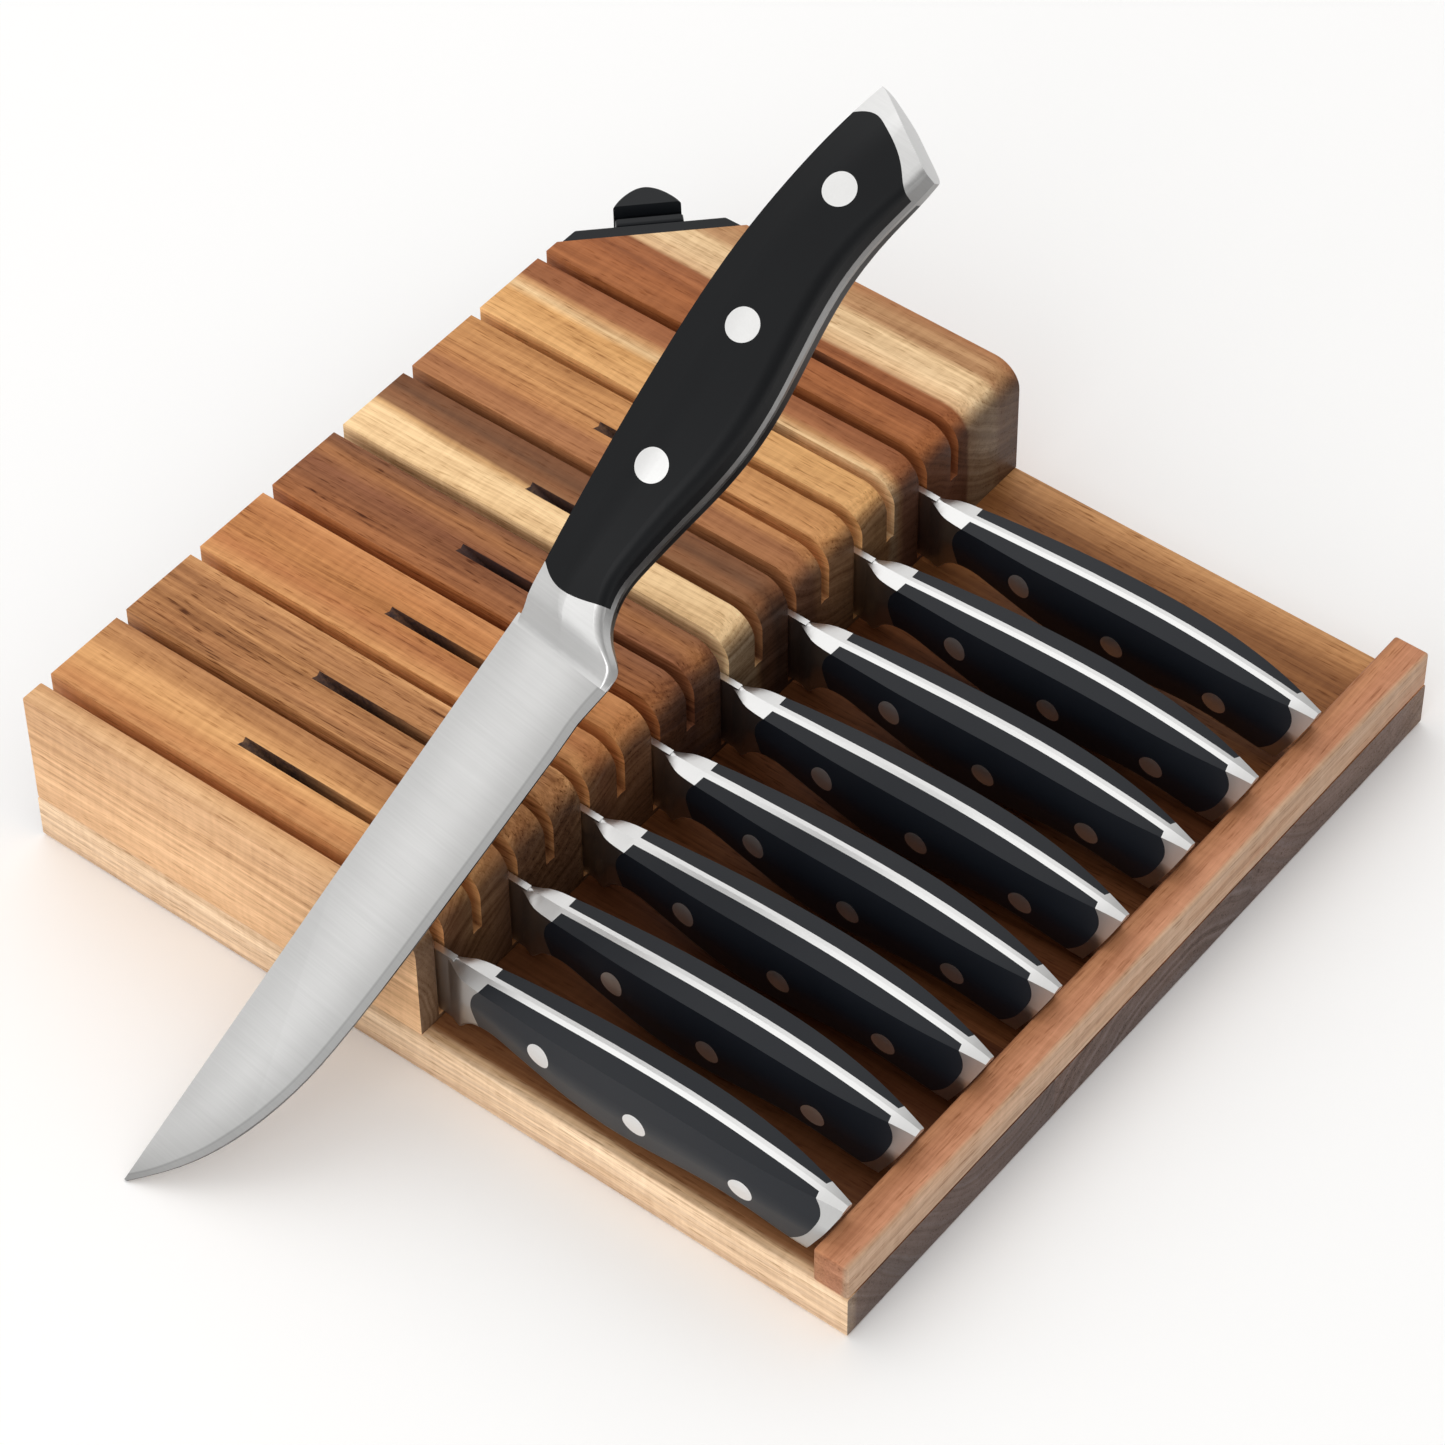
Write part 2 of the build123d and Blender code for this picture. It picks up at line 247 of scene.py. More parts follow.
both_rings = maths(grain, "MULTIPLY_ADD", rings_fine, 0.45, maths(grain, "MULTIPLY", rings_broad, 0.55))
streak = span(grain, both_rings, 0.52, 0.63)
fibre = stretched(grain, bent, (900, 24, 900), Detail=5.0, Roughness=0.72)
veins = span(grain, stretched(grain, bent, (400, 8, 400), Detail=5.0, Roughness=0.68), 0.47, 0.66)
pores = span(grain, stretched(grain, bent, (2000, 150, 2000), Detail=1.5, Roughness=0.5), 0.59, 0.71)
ripple = stretched(grain, bent, (90, 520, 90), Detail=2.0)
cloud = join(grain, "ShaderNodeTexNoise", [("noise_dimensions", "4D")], Vector=flow, W=grain_in["Seed"],
             Scale=75, Detail=4.0, Roughness=0.6).outputs["Fac"]
end = span(grain, maths(grain, "ABSOLUTE", axes_of(grain, grain_in["Facing"])["Y"]), 0.6, 0.95)


def weigh(level, pattern, share):
    """Adds a pattern, by its share, to the wood's brightness; half of a pattern changes nothing."""
    return maths(grain, "MULTIPLY_ADD", maths(grain, "SUBTRACT", pattern, 0.5), share, level)


def shadow(level, pattern, share):
    """Takes a pattern, by its share, off the wood's brightness where there is much fibre."""
    return maths(grain, "MULTIPLY_ADD", maths(grain, "MULTIPLY", pattern, grain_in["Fibre"]), -share, level)


ring_share = maths(grain, "MULTIPLY", grain_in["Rings"], maths(grain, "MULTIPLY_ADD", end, 0.8, 1.0))
level = weigh(1.09, rings_fine, ring_share)
level = weigh(level, fibre, maths(grain, "MULTIPLY", grain_in["Fibre"], 1.5))
level = shadow(level, veins, 0.26)
level = weigh(level, cloud, 0.75)
level = weigh(level, ripple, 0.28)
level = shadow(level, pores, 0.42)
level = maths(grain, "MAXIMUM", level, 0.2)
# Darker wood is also warmer: blue falls off faster than red.
red, green, blue = (maths(grain, "POWER", level, power) for power in (0.9, 1.15, 1.4))
shade = join(grain, "ShaderNodeCombineColor", Red=red, Green=green, Blue=blue).outputs[0]
oiled = blend_colours(grain, "MULTIPLY", 1.0, grain_in["Colour"], (0.95, 0.89, 0.80, 1))
lit = blend_colours(grain, "MULTIPLY", 1.0, oiled, shade)
dark = blend_colours(grain, "MULTIPLY", 1.0, lit, (0.40, 0.29, 0.23, 1))
streaked = blend_colours(grain, "MIX", maths(grain, "MULTIPLY", streak, grain_in["Streaks"]), lit, dark)
# Faces across the grain are painted darker, partly as the sawn ends drinking the oil and partly as painted
# shade; some are also turned grey.
end_dark_and_shade = blend_colours(grain, "MULTIPLY", 1.0, streaked, (0.25, 0.24, 0.25, 1))
grey_dark_end = blend_colours(grain, "MULTIPLY", 1.0, shade, (0.135, 0.112, 0.104, 1))
end_dark_and_shade = blend_colours(grain, "MIX", grain_in["End grey"], end_dark_and_shade, grey_dark_end)
seen = blend_colours(grain, "MIX", maths(grain, "MULTIPLY", end, grain_in["End darkening"]), streaked, end_dark_and_shade)
grain.links.new(seen, grain_out["Colour"])
rough = maths(grain, "MULTIPLY_ADD", fibre, 0.30, maths(grain, "MULTIPLY_ADD", pores, 0.2, 0.34))
grain.links.new(rough, grain_out["Roughness"])
height = maths(grain, "MULTIPLY_ADD", pores, -0.8, maths(grain, "MULTIPLY", fibre, 0.5))
grain.links.new(height, grain_out["Height"])


def acacia(name, bands, across, pith, seed, rings=0.8, streaks=0.3, fibre=1.0, ends=0.45, end_grey=0.1,
           wobble=2.5, turned=0):
    """Oiled acacia. bands are (share of the width, colour) from one side to the other, and across is
    (left, right) in mm. turned is the angle in degrees from the grain's direction to Y."""
    wood = bpy.data.materials.new(name)
    wood.use_nodes = True
    tree = wood.node_tree
    skin = tree.nodes["Principled BSDF"]
    coords = tree.nodes.new("ShaderNodeTexCoord")
    where, facing = coords.outputs["Object"], coords.outputs["Normal"]
    if turned:
        angles = (0, 0, math.radians(turned))
        where = join(tree, "ShaderNodeMapping", Vector=where, Rotation=angles).outputs[0]
        facing = join(tree, "ShaderNodeMapping", Vector=facing, Rotation=angles).outputs[0]
    slow = vectors(tree, "MULTIPLY", where, (1, 0.2, 1))
    drift = join(tree, "ShaderNodeTexNoise", [("noise_dimensions", "4D")], Vector=slow, W=seed, Scale=45,
                 Detail=3.0, Roughness=0.6).outputs["Fac"]
    x = maths(tree, "MULTIPLY_ADD", maths(tree, "SUBTRACT", drift, 0.5), wobble * 2.4 * MM,
              axes_of(tree, where)["X"])
    colours = join(tree, "ShaderNodeValToRGB", Fac=span(tree, x, across[0] * MM, across[1] * MM))
    stops = colours.color_ramp.elements
    while len(stops) < len(bands):
        stops.new(0.5)
    for point, (at, colour) in zip(stops, bands):
        point.position = at
        point.color = tone(*colour)
    look = join(tree, "ShaderNodeGroup", [("node_tree", grain)], Place=where, Facing=facing,
                Colour=colours.outputs["Color"], Pith=[p * MM for p in pith], Seed=seed, Rings=rings,
                Streaks=streaks, Fibre=fibre, **{"End darkening": ends, "End grey": end_grey})
    tree.links.new(look.outputs["Colour"], skin.inputs["Base Color"])
    tree.links.new(look.outputs["Roughness"], skin.inputs["Roughness"])
    bump = join(tree, "ShaderNodeBump", Height=look.outputs["Height"], Strength=0.3, Distance=0.00015)
    tree.links.new(bump.outputs["Normal"], skin.inputs["Normal"])
    skin.inputs["Specular IOR Level"].default_value = 0.14
    return wood


def box_mm(name):
    return [[c / MM for c in corner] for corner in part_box(name)]


# Each plank: its bands across X, its pith, seed, rings, streaks and fibre.
BASE = [
    ([(0, (244, 217, 188)), (0.025, (230, 194, 156)), (0.05, (140, 96, 64)), (0.12, (122, 80, 52)),
      (0.34, (116, 72, 45)), (0.7, (124, 76, 48)), (1, (108, 64, 41))],
     (-60, 0, 46), 3.1, 0.8, 0.6, 0.75),
    ([(0, (132, 82, 50)), (0.3, (118, 70, 43)), (0.6, (134, 84, 52)), (1, (112, 68, 44))],
     (10, 0, -34), 8.6, 1.0, 0.7, 1.1),
    ([(0, (124, 74, 46)), (0.3, (140, 88, 52)), (0.6, (148, 98, 58)), (0.86, (152, 102, 62)),
      (0.95, (190, 138, 92)), (1, (196, 146, 100))],
     (96, 0, 52), 5.4, 0.9, 0.45, 1.0)]
# The sharpener's corner is sawn through CORNER. The others lie just inside the outer faces.
CORNER = (86.3, 128, 0)
NEAR_CORNER, NEAR_SIDES, NEAR_ENDS, NEAR_BACK = 86, 122, 127, 90
for number, (bands, pith, seed, rings, streaks, fibre_share) in enumerate(BASE):
    name = "base_plank_" + str(number)
    low, high = box_mm(name)
    base = plank("acacia_" + name, low, high)
    if number == 2:
        saw(base, CORNER, (1, 1, 0))
    pick_edges(base, lambda a, b: max(a.z, b.z) < 0.1
               and (abs((a.x + b.x) / 2) > NEAR_CORNER or abs((a.y + b.y) / 2) > NEAR_ENDS))
    bpy.ops.mesh.bevel(offset=0.8 * MM, segments=2)
    bpy.ops.object.mode_set(mode="OBJECT")
    pick_edges(base, lambda a, b: min(a.z, b.z) > 0.9
               and (min(abs(a.x), abs(b.x)) > NEAR_SIDES or min(a.y, b.y) > NEAR_BACK))
    bpy.ops.mesh.bevel(offset=0.6 * MM, segments=3)
    bpy.ops.object.mode_set(mode="OBJECT")
    bpy.ops.object.shade_smooth_by_angle(angle=math.radians(35))
    base.data.materials.append(acacia("base acacia " + str(number), bands, (low[0], high[0]), pith, seed,
                                      rings, streaks, fibre=fibre_share, ends=0.8, end_grey=0.75))
    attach(base, "block")
    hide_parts(name)

# ------------------------------------------------------------------ end rim
# A reddish strip glued across the handle end of the base, with three thin pins let into
# its top; its top edges are sanded soft. Its grain runs along X.
RIM_BANDS = [(0, (176, 122, 90)), (0.2, (192, 136, 100)), (0.5, (194, 136, 104)), (0.85, (198, 142, 112)),
             (0.94, (196, 160, 134)), (1, (196, 166, 144))]
low, high = box_mm("end_rim")
rim = plank("end_rim_strip", low, high)
ease(rim, 0.8)
rim.data.materials.append(acacia("rim acacia", RIM_BANDS, (117.8, 128), (124, 0, -60), 9.4, rings=0.5,
                                 streaks=0.1, fibre=0.7, ends=0.3, wobble=3, turned=90))
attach(rim, "block")
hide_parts("end_rim")

# ------------------------------------------------------------------ block staves
# Nine staves of mixed acacia stand on the base. Long sawn slots part them, each with a thin
# floor left at the bottom, and a circular saw has run a short slot into eight of them.
STAVE_BANDS = [
    [(0, (224, 182, 142)), (0.5, (230, 186, 142)), (1, (222, 172, 126))],
    [(0, (204, 148, 100)), (0.15, (198, 139, 91)), (0.4, (220, 166, 112)), (0.75, (206, 152, 103)),
     (1, (176, 123, 81))],
    [(0, (193, 141, 94)), (0.16, (177, 124, 82)), (0.4, (192, 139, 92)), (0.75, (180, 127, 84)),
     (0.9, (190, 136, 90)), (0.95, (214, 160, 110))],
    [(0, (211, 154, 102)), (0.25, (190, 126, 80)), (0.5, (206, 144, 91)), (0.8, (199, 135, 85)),
     (1, (211, 148, 97))],
    [(0.05, (172, 112, 70)), (0.4, (142, 91, 61)), (0.55, (137, 86, 59)), (0.8, (165, 110, 69)),
     (1, (134, 88, 61))],
    [(0, (249, 216, 170)), (0.42, (246, 212, 166)), (0.5, (220, 176, 126)), (0.56, (152, 109, 77)),
     (0.7, (150, 102, 70)), (0.82, (116, 78, 54)), (1, (139, 92, 62))],
    [(0, (167, 113, 75)), (0.28, (162, 108, 72)), (0.38, (200, 142, 94)), (0.65, (216, 160, 107)),
     (1, (208, 152, 98))],
    [(0, (230, 180, 124)), (0.45, (226, 174, 115)), (0.55, (240, 207, 163)), (0.66, (212, 162, 114)),
     (0.74, (166, 108, 72)), (1, (157, 97, 62))],
    [(0, (173, 110, 68)), (0.25, (170, 105, 65)), (0.43, (160, 100, 64)), (0.46, (232, 194, 152)),
     (0.60, (243, 213, 173)), (0.74, (236, 204, 162)), (0.80, (204, 160, 120)), (0.9, (190, 146, 106)),
     (1, (176, 122, 84))]]
PITHS = [(-150, 0, 20), (-60, 0, -40), (-110, 0, 110), (-20, 0, -60), (0, 0, 120), (10, 0, -70),
         (70, 0, 130), (60, 0, -60), (160, 0, 120)]
STREAKS = [0.2, 0.15, 0.55, 0.3, 0.85, 0.6, 0.45, 0.4, 0.4]
FIBRES = [0.65, 0.7, 1.4, 0.85, 1.2, 0.6, 0.85, 0.7, 0.7]
WOBBLES = [2, 3, 2, 3, 3, 2.4, 2, 1.6, 1.2]
block_top = box_mm("stave_8")[1][2]
slot_width, slot_floor, front_round = 3.5, 15.85, 8
kerf_width, kerf_floor, kerf_end, kerf_inset = 3.2, 33.0, 75.9, 12.1
saw_radius, tooth_ridge = 162.0, 0.3

# The teeth drag inside a saw cut and char it where the cut runs out; the dark mark there is partly charring
# and partly painted shade, and the darkening deep down in the cut is painted shade.
scorch_and_shade, scorch_and_shade_in, scorch_and_shade_out = new_group(
    "saw scorch",
    [("Place", "NodeSocketVector", None), ("Middle", "NodeSocketFloat", 0.0),
     ("Stop", "NodeSocketFloat", 0.0), ("Top", "NodeSocketFloat", 0.0)], [("Mask", "NodeSocketFloat")])


def all_of(tree, *masks):
    product = masks[0]
    for other in masks[1:]:
        product = maths(tree, "MULTIPLY", product, other)
    return product


spot = axes_of(scorch_and_shade, scorch_and_shade_in["Place"])
off_middle = maths(scorch_and_shade, "ABSOLUTE", maths(scorch_and_shade, "SUBTRACT", spot["X"], scorch_and_shade_in["Middle"]))
between_walls = maths(scorch_and_shade, "LESS_THAN", off_middle, (kerf_width / 2 + 0.04) * MM)
under_top = maths(scorch_and_shade, "LESS_THAN", spot["Z"], maths(scorch_and_shade, "SUBTRACT", scorch_and_shade_in["Top"], 0.08 * MM))
short_of_stop = maths(scorch_and_shade, "LESS_THAN", spot["Y"], maths(scorch_and_shade, "ADD", scorch_and_shade_in["Stop"], 0.5 * MM))
over_floor = maths(scorch_and_shade, "GREATER_THAN", spot["Z"], (kerf_floor - 0.1) * MM)
# Darker towards the run-out (charring and painted shade) and deeper down in the cut (painted shade).
near = span(scorch_and_shade, maths(scorch_and_shade, "SUBTRACT", scorch_and_shade_in["Stop"], spot["Y"]), 46 * MM, 16 * MM)
deep = span(scorch_and_shade, maths(scorch_and_shade, "SUBTRACT", scorch_and_shade_in["Top"], spot["Z"]), 6 * MM, 26 * MM, 0.0, 0.6)
patch_noise = join(scorch_and_shade, "ShaderNodeTexNoise", Vector=scorch_and_shade_in["Place"], Scale=900, Detail=2.0).outputs["Fac"]
patchy = maths(scorch_and_shade, "MULTIPLY_ADD", patch_noise, 0.4, 0.7)
burn_and_shade = maths(scorch_and_shade, "MULTIPLY", maths(scorch_and_shade, "MAXIMUM", near, deep), patchy)
mask = all_of(scorch_and_shade, between_walls, under_top, short_of_stop, over_floor, burn_and_shade)
scorch_and_shade.links.new(mask, scorch_and_shade_out["Mask"])


def scorched_and_shaded(wood, middle):
    """Lays the charring and painted shade of the saw cut that has its middle at this X, in mm."""
    tree = wood.node_tree
    colour_in = tree.nodes["Principled BSDF"].inputs["Base Color"]
    plain = colour_in.links[0].from_socket
    burnt_and_shaded = join(tree, "ShaderNodeGroup", [("node_tree", scorch_and_shade)],
                 Place=tree.nodes["Texture Coordinate"].outputs["Object"],
                 Middle=middle * MM, Stop=kerf_end * MM, Top=block_top * MM)
    # The masked part of the cut is painted a dark grey-brown: charring and painted shade.
    tree.links.new(blend_colours(tree, "MIX", burnt_and_shaded.outputs["Mask"], plain, tone(58, 44, 44)), colour_in)


def run_out(piece, middle):
    """A large saw blade is lowered into the front and leaves by its own arc. Its teeth are
    bevelled by turns, so they leave a low ridge along the middle of the cut's floor."""
    reach = math.sqrt(saw_radius ** 2 - (saw_radius - (block_top - kerf_floor)) ** 2)
    hub = (middle * MM, (kerf_end - reach) * MM, (kerf_floor + saw_radius) * MM)
    clear()
    bpy.ops.mesh.primitive_cylinder_add(vertices=360, radius=saw_radius * MM, depth=kerf_width * MM,
                                        location=hub, rotation=(0, math.radians(90), 0))
    disc = bpy.context.object
    settle(disc)
    score(disc, (middle, 0, 0), (1, 0, 0))
    pick_edges(disc, lambda a, b: abs(a.x - middle) < 0.01 and abs(b.x - middle) < 0.01)
    shrink = 1 - tooth_ridge / saw_radius
    bpy.ops.transform.resize(value=(1, shrink, shrink), center_override=hub)
    bpy.ops.object.mode_set(mode="OBJECT")
    only(piece)
    cut = piece.modifiers.new("saw", "BOOLEAN")
    cut.operation, cut.solver, cut.object = "DIFFERENCE", "EXACT", disc
    bpy.ops.object.modifier_apply(modifier=cut.name)
    bpy.data.objects.remove(disc)


for number in range(9):
    name = "stave_" + str(number)
    low, high = box_mm(name)
    last = number == 8
    right = high[0] if last else high[0] - slot_width
    stave = plank("acacia_" + name, low, (right, high[1], high[2]))
    if last:
        saw(stave, CORNER, (1, 1, 0))
    pick_edges(stave, lambda a, b: abs(a.y - low[1]) < .01 and abs(b.y - low[1]) < .01
               and abs(a.z - high[2]) < .01 and abs(b.z - high[2]) < .01)
    bpy.ops.mesh.bevel(offset=front_round * MM, segments=10)
    bpy.ops.object.mode_set(mode="OBJECT")
    if not last:
        score(stave, (0, 0, slot_floor), (0, 0, 1))
        pick_faces(stave, lambda c, n: n.x > 0.9 and c.z < slot_floor)
        bpy.ops.mesh.extrude_region_move(TRANSFORM_OT_translate={"value": (slot_width * MM, 0, 0)})
        bpy.ops.object.mode_set(mode="OBJECT")
    if number > 0:
        run_out(stave, low[0] + kerf_inset)
    ease(stave, 0.45, 2, 50)
    wood = acacia("acacia stave " + str(number), STAVE_BANDS[number], (low[0], right), PITHS[number],
                  11.7 * number + 2, rings=1.1, streaks=STREAKS[number], fibre=FIBRES[number], ends=1.0,
                  wobble=WOBBLES[number])
    if number > 0:
        scorched_and_shaded(wood, low[0] + kerf_inset)
    stave.data.materials.append(wood)
    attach(stave, "block")
    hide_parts(name)

# ------------------------------------------------------------------ rim pins
# Three thin steel brads that pin the rim to the base while its glue sets; only their
# round ends show in the rim's top.
brushed, scratch_in, scratch_out = new_group(
    "ground scratches",
    [("Place", "NodeSocketVector", None), ("Fineness", "NodeSocketVector", None),
     ("Contrast", "NodeSocketFloat", 0.1), ("Tone", "NodeSocketFloat", 0.8),
     ("Sheen", "NodeSocketFloat", 0.26)],
    [("Colour", "NodeSocketColor"), ("Roughness", "NodeSocketFloat"), ("Height", "NodeSocketFloat")])
lines_at = vectors(brushed, "MULTIPLY", scratch_in["Place"], scratch_in["Fineness"])
lines = join(brushed, "ShaderNodeTexNoise", Vector=lines_at, Scale=1.0, Detail=4.0,
             Roughness=0.65).outputs["Fac"]
smear = join(brushed, "ShaderNodeTexNoise", Vector=scratch_in["Place"], Scale=60.0,
             Detail=2.0).outputs["Fac"]
value = maths(brushed, "MULTIPLY_ADD", maths(brushed, "SUBTRACT", lines, 0.5), scratch_in["Contrast"],
              scratch_in["Tone"])
value = maths(brushed, "MULTIPLY_ADD", maths(brushed, "SUBTRACT", smear, 0.5), 0.06, value)
metal_grey = join(brushed, "ShaderNodeCombineColor", Red=value, Green=value,
                  Blue=maths(brushed, "MULTIPLY", value, 0.995)).outputs[0]
brushed.links.new(metal_grey, scratch_out["Colour"])
brushed.links.new(maths(brushed, "MULTIPLY_ADD", lines, 0.08, scratch_in["Sheen"]), scratch_out["Roughness"])
brushed.links.new(lines, scratch_out["Height"])


def steel(name, fineness, contrast=0.12, strength=0.25, brightness=0.8, sheen=0.2, place=None, painted_side_shade=1.0):
    """Steel with scratches fine across the large numbers of fineness and long across the small ones.
    place is the rotation and shift that bring a slanting piece back to the pattern's own axes, and
    the last argument is how bright the upright faces are painted next to those that face up, as painted
    shade."""
    metal = bpy.data.materials.new(name)
    metal.use_nodes = True
    tree = metal.node_tree
    skin = tree.nodes["Principled BSDF"]
    coords = tree.nodes.new("ShaderNodeTexCoord")
    where = coords.outputs["Object"]
    if place:
        where = join(tree, "ShaderNodeMapping", Vector=where, Rotation=place[0], Location=place[1]).outputs[0]
    look = join(tree, "ShaderNodeGroup", [("node_tree", brushed)], Place=where, Fineness=fineness,
                Contrast=contrast, Tone=brightness, Sheen=sheen)
    # Painted shade: faces that do not point up are given a darker colour.
    facing_up = axes_of(tree, coords.outputs["Normal"])["Z"]
    share = even_grey(tree, span(tree, facing_up, 0.0, 0.75, painted_side_shade, 1.0, "SMOOTHSTEP"))
    shaded = blend_colours(tree, "MULTIPLY", 1.0, look.outputs["Colour"], share)
    tree.links.new(shaded, skin.inputs["Base Color"])
    tree.links.new(look.outputs["Roughness"], skin.inputs["Roughness"])
    bump = join(tree, "ShaderNodeBump", Height=look.outputs["Height"], Strength=strength, Distance=0.00003)
    tree.links.new(bump.outputs["Normal"], skin.inputs["Normal"])
    skin.inputs["Metallic"].default_value = 1.0
    return metal


def finish(name, material):
    nodes[name].data.materials.clear()
    nodes[name].data.materials.append(material)


EVEN = (2500, 2500, 2500)
finish("rim_pins", steel("pin steel", EVEN, contrast=0.3, brightness=0.42, sheen=0.35))

# ------------------------------------------------------------------ sharpener
# A moulded black housing on a plate that is screwed to the cut corner. Its slot holds two
# crossed rods that a blade is drawn through.
moulded, skin_in, skin_out = new_group(
    "moulded skin", [("Place", "NodeSocketVector", None), ("Tint", "NodeSocketColor", None),
                     ("Dullness", "NodeSocketFloat", 0.36)],
    [("Colour", "NodeSocketColor"), ("Roughness", "NodeSocketFloat"), ("Height", "NodeSocketFloat")])
speck = join(moulded, "ShaderNodeTexNoise", Vector=skin_in["Place"], Scale=3800, Detail=2.0).outputs["Fac"]
haze = join(moulded, "ShaderNodeTexNoise", Vector=skin_in["Place"], Scale=55, Detail=2.0).outputs["Fac"]
lift = maths(moulded, "MULTIPLY_ADD", maths(moulded, "SUBTRACT", speck, 0.5), 0.25,
             maths(moulded, "MULTIPLY_ADD", maths(moulded, "SUBTRACT", haze, 0.5), 0.3, 1.0))
tinted = blend_colours(moulded, "MULTIPLY", 1.0, skin_in["Tint"], even_grey(moulded, lift))
moulded.links.new(tinted, skin_out["Colour"])
moulded.links.new(maths(moulded, "MULTIPLY_ADD", haze, 0.12, skin_in["Dullness"]), skin_out["Roughness"])
moulded.links.new(speck, skin_out["Height"])


def plastic(name, tint, strength=0.15, dullness=0.36, gloss=0.22):
    """Moulded plastic, given its colour, the depth of its fine texture, its dullness and its gloss."""
    made = bpy.data.materials.new(name)
    made.use_nodes = True
    tree = made.node_tree
    skin = tree.nodes["Principled BSDF"]
    where = tree.nodes.new("ShaderNodeTexCoord").outputs["Object"]
    look = join(tree, "ShaderNodeGroup", [("node_tree", moulded)], Place=where, Tint=tone(*tint),
                Dullness=dullness)
    tree.links.new(look.outputs["Colour"], skin.inputs["Base Color"])
    tree.links.new(look.outputs["Roughness"], skin.inputs["Roughness"])
    bump = join(tree, "ShaderNodeBump", Height=look.outputs["Height"], Strength=strength, Distance=0.00003)
    tree.links.new(bump.outputs["Normal"], skin.inputs["Normal"])
    skin.inputs["Specular IOR Level"].default_value = gloss
    return made


housing = plastic("black housing", (16, 19, 23), strength=0.3)
finish("sharpener_plate", housing)
finish("sharpener_head", housing)
finish("sharpener_rods", steel("rod steel", EVEN, contrast=0.2, brightness=0.6, sheen=0.3))
finish("sharpener_screws", steel("screw steel", EVEN, contrast=0.2, brightness=0.5, sheen=0.3))

# ------------------------------------------------------------------ stored knives
# Eight forged steak knives: blade, bolster, tang and butt cap are one piece of satin steel,
# with two black scales held by three rivets. They lie on edge, spine up.
blade_steel = steel("ground blade steel", (300, 1800, 300), contrast=0.05, strength=0.02, brightness=0.72,
                    sheen=0.30, painted_side_shade=0.62)
rivet_steel = steel("rivet steel", (1600, 1600, 1600), contrast=0.06, strength=0.02, brightness=0.80,
                    sheen=0.38)
scale_skin = plastic("charcoal scale", (19, 23, 30), gloss=0.3)


def finish_knife(number, blade, scales):
    knife = "knife_" + str(number)
    finish(knife + "_blade", blade)
    finish(knife + "_scale_left", scales)
    finish(knife + "_scale_right", scales)
    finish(knife + "_rivets", rivet_steel)


for number in range(1, 9):
    finish_knife(number, blade_steel, scale_skin)

# ------------------------------------------------------------------ leaning knife
# A larger knife of the same pattern. Its tip stands on the table and its flat leans on the
# upper edge of the block; the faces are ground across the blade, the edge has its own bevel.
LEAN, SWING = math.radians(37.1), math.radians(-6.7)
TIP = (-191.4, 37.2, 0.25)
BIG, BLADE_LENGTH = 1.275, 129.5
run, level_way = Vector((math.cos(LEAN), 0, math.sin(LEAN))), Vector((0, 1, 0))
to_tip = -(run * math.cos(SWING) + level_way * math.sin(SWING))
to_spine = level_way * math.cos(SWING) - run * math.sin(SWING)
blade_root = Vector(TIP) * MM - to_tip * (BLADE_LENGTH * BIG * MM)
upright = Matrix((to_tip.cross(to_spine), to_tip, to_spine))
own_axes = (upright.to_euler(), -(upright @ blade_root))
# Painted shade: this steel is set darker than the stored knives' steel, and its upright faces darker still.
big_steel = steel("ground steel of the leaning knife", (150, 1500, 34), contrast=0.12, strength=0.03,
                  brightness=0.66, sheen=0.3, place=own_axes, painted_side_shade=0.42)
# The edge's bevel: EDGE is the share of the blade's length and how far down from the spine the
# edge lies there, in mm of the smaller pattern. BEVEL is the bevel's width in the same measure.
EDGE = [(0, 24.0), (0.069, 22.9), (0.126, 22.9), (0.414, 21.9), (0.559, 21.2), (0.646, 20.4), (0.705, 19.5),
        (0.764, 17.9), (0.853, 13.9), (0.931, 8.2), (1, 0.5)]
BEVEL, DEEPEST = 1.7, 25.0
tree = big_steel.node_tree
colour_in = tree.nodes["Principled BSDF"].inputs["Base Color"]
ground = colour_in.links[0].from_socket
spot = axes_of(tree, tree.nodes["Mapping"].outputs[0])
along = maths(tree, "DIVIDE", spot["Y"], BLADE_LENGTH * BIG * MM)
outline = join(tree, "ShaderNodeFloatCurve", Value=along)
curve = outline.mapping.curves[0]
curve.points[0].location = (0, EDGE[0][1] / DEEPEST)
curve.points[1].location = (1, EDGE[-1][1] / DEEPEST)
for at, depth in EDGE[1:-1]:
    curve.points.new(at, depth / DEEPEST)
outline.mapping.update()
rise = maths(tree, "MULTIPLY_ADD", outline.outputs[0], DEEPEST, maths(tree, "DIVIDE", spot["Z"], BIG * MM))
# The bevel is not in the mesh: its band and its shoulder line are painted shade on the flat of the blade.
band = span(tree, rise, BEVEL, BEVEL - 0.25)
shoulder = span(tree, maths(tree, "ABSOLUTE", maths(tree, "SUBTRACT", rise, BEVEL)), 0.34, 0.0)
painted_blade_shade = maths(tree, "MULTIPLY_ADD", band, -0.22, maths(tree, "MULTIPLY_ADD", shoulder, -0.3, 1.0))
# Painted shade and light across the blade: darker towards the edge and towards the spine, a little brighter
# between.
by_edge = span(tree, rise, 0.0, 11.0, 0.74, 1.04, "SMOOTHSTEP")
by_spine = span(tree, spot["Z"], -12 * MM, 0.0, 1.0, 0.86, "SMOOTHSTEP")
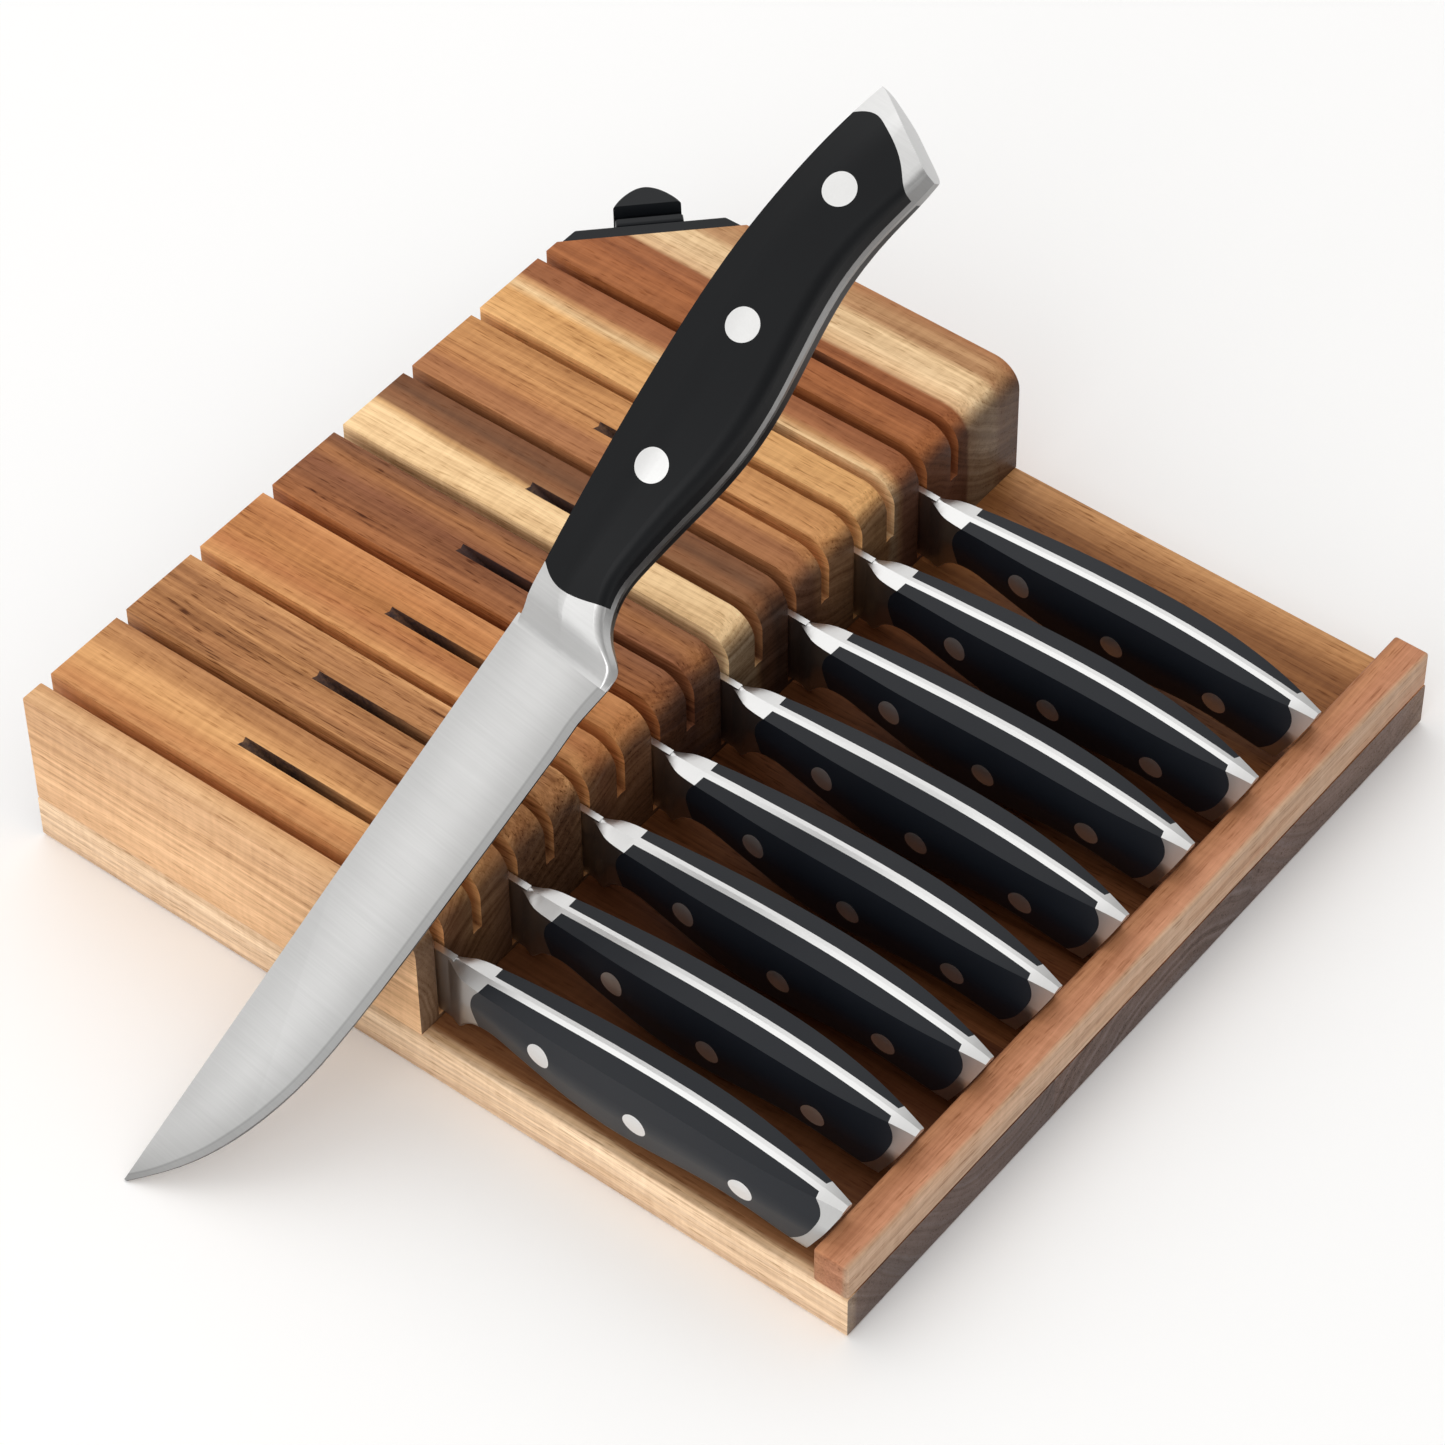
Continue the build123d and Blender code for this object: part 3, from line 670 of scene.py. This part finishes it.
painted_blade_shade = maths(tree, "MULTIPLY", painted_blade_shade, maths(tree, "MULTIPLY", by_edge, by_spine))
on_blade = maths(tree, "GREATER_THAN", spot["Y"], 1.5 * MM)
painted_blade_shade = maths(tree, "MULTIPLY_ADD", maths(tree, "SUBTRACT", painted_blade_shade, 1.0), on_blade, 1.0)
tree.links.new(blend_colours(tree, "MULTIPLY", 1.0, ground, even_grey(tree, painted_blade_shade)), colour_in)
# The scales are the same plastic as the stored knives', set darker and less glossy as painted shade.
finish_knife(9, big_steel, plastic("scale of the leaning knife with painted shade", (11, 13, 16), gloss=0.2))

# ------------------------------------------------------------------ table and studio light
# A white table with a bright room round it, a wide window on the left and a large soft lamp
# high up at the back. None of it belongs to the object.
clear()
bpy.ops.mesh.primitive_plane_add(size=8, location=(0, 0, 0))
table = bpy.context.object
table.name = "table"
white = bpy.data.materials.new("white table")
white.use_nodes = True
white.node_tree.nodes["Principled BSDF"].inputs["Base Color"].default_value = (1.0, 1.0, 1.0, 1)
white.node_tree.nodes["Principled BSDF"].inputs["Roughness"].default_value = 0.6
table.data.materials.append(white)

world = bpy.data.worlds.new("studio")
bpy.context.scene.world = world
world.use_nodes = True
sky = world.node_tree
up = axes_of(sky, sky.nodes.new("ShaderNodeTexCoord").outputs["Generated"])
glow = maths(sky, "MULTIPLY_ADD", up["Y"], 0.16, maths(sky, "MULTIPLY_ADD", up["Z"], 0.42, 0.50))
glow = maths(sky, "MULTIPLY_ADD", up["X"], -0.10, glow)
sky.nodes["Background"].inputs["Color"].default_value = (1, 0.992, 0.98, 1)
sky.links.new(glow, sky.nodes["Background"].inputs["Strength"])


def softbox(name, at, size, power):
    """A round lamp in metres and watts, turned to the object."""
    data = bpy.data.lights.new(name, "AREA")
    data.shape, data.size, data.energy = "DISK", size, power
    lamp = bpy.data.objects.new(name, data)
    lamp.location = at
    lamp.rotation_euler = (-Vector(at)).to_track_quat("-Z", "Y").to_euler()
    bpy.context.scene.collection.objects.link(lamp)


softbox("window", (-2.2, -0.3, 1.0), 2.0, 17)
softbox("overhead", (0.9, 0.95, 1.9), 3.0, 11)
bpy.context.scene.view_settings.view_transform = "Standard"
